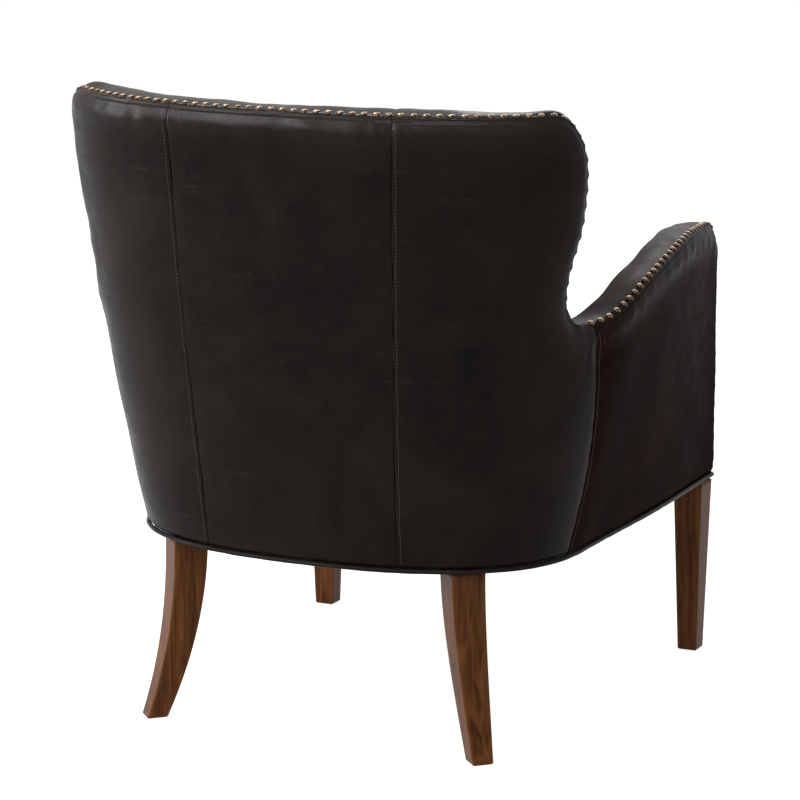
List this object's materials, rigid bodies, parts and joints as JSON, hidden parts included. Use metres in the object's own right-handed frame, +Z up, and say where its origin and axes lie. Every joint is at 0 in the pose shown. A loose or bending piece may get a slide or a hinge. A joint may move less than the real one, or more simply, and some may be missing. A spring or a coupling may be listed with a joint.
{
  "type": "wingback armchair",
  "caption": "Leather wingback armchair with a curved barrel back, short wings, sloping padded arms, brass nailhead trim, a loose seat cushion and tapered wooden legs.",
  "frame": {"origin": "centre of the bounding box in plan, on the floor", "axes": "+Z up, -Y towards the front of the seat, +X towards the sitter's left"},
  "size_m": [0.7514, 0.7586, 0.8481],
  "materials": {
    "leather": "semi-gloss, fine creases and light scuffs",
    "foam": "open-cell foam",
    "leg_wood": "walnut stain, satin lacquer",
    "frame_wood": "sawn hardwood",
    "steel": "drawn wire",
    "aged_brass": "aged, dark in the recesses",
    "cloth": "matt woven cloth"
  },
  "bodies": {
    "frame": {"outside_back_left_panel": "leather", "outside_back_right_panel": "leather", "outside_back_centre_panel": "leather", "outside_arm_left_panel": "leather", "outside_arm_right_panel": "leather", "bottom_welt": "leather", "inside_arm_left_cover": "leather", "inside_arm_right_cover": "leather", "arm_front_left_facing": "leather", "arm_front_right_facing": "leather", "front_border_panel": "leather", "inside_back_cover": "leather", "inside_arm_left_foam": "foam", "inside_arm_right_foam": "foam", "inside_back_foam": "foam", "deck_pad": "foam", "front_left_leg": "leg_wood", "front_right_leg": "leg_wood", "rear_left_leg": "leg_wood", "rear_right_leg": "leg_wood", "left_side_rail": "frame_wood", "right_side_rail": "frame_wood", "back_base_rail": "frame_wood", "lumbar_rail": "frame_wood", "back_top_rail": "frame_wood", "front_rail": "frame_wood", "seat_rear_rail": "frame_wood", "back_left_post": "frame_wood", "back_right_post": "frame_wood", "front_left_post": "frame_wood", "front_right_post": "frame_wood", "wing_left_post": "frame_wood", "wing_right_post": "frame_wood", "arm_left_rail": "frame_wood", "arm_right_rail": "frame_wood", "front_left_corner_block": "frame_wood", "front_right_corner_block": "frame_wood", "rear_left_corner_block": "frame_wood", "rear_right_corner_block": "frame_wood", "seat_spring_1": "steel", "seat_spring_2": "steel", "seat_spring_3": "steel", "seat_spring_4": "steel", "front_left_leg_bolt": "steel", "front_right_leg_bolt": "steel", "rear_left_leg_bolt": "steel", "rear_right_leg_bolt": "steel", "back_nail_trim": "aged_brass", "left_arm_nail_trim": "aged_brass", "right_arm_nail_trim": "aged_brass", "deck_cover": "cloth", "dust_cover": "cloth"},
    "cushion": {"cushion_foam": "foam", "cushion_top_panel": "leather", "cushion_bottom_panel": "leather", "cushion_top_welt": "leather", "cushion_bottom_welt": "leather", "cushion_boxing": "leather", "cushion_zip_tape": "cloth"},
    "zip_slider": {"cushion_zip_slider": "aged_brass"}
  },
  "joints": [
    {"name": "cushion_lift", "type": "slide", "parent": "frame", "child": "cushion", "axis": [0, 0, 1], "range_m": [0, 0.53]},
    {"name": "zip_slide", "type": "slide", "parent": "cushion", "child": "zip_slider", "axis": [1, 0, 0], "range_m": [0, 0.208]}
  ]
}
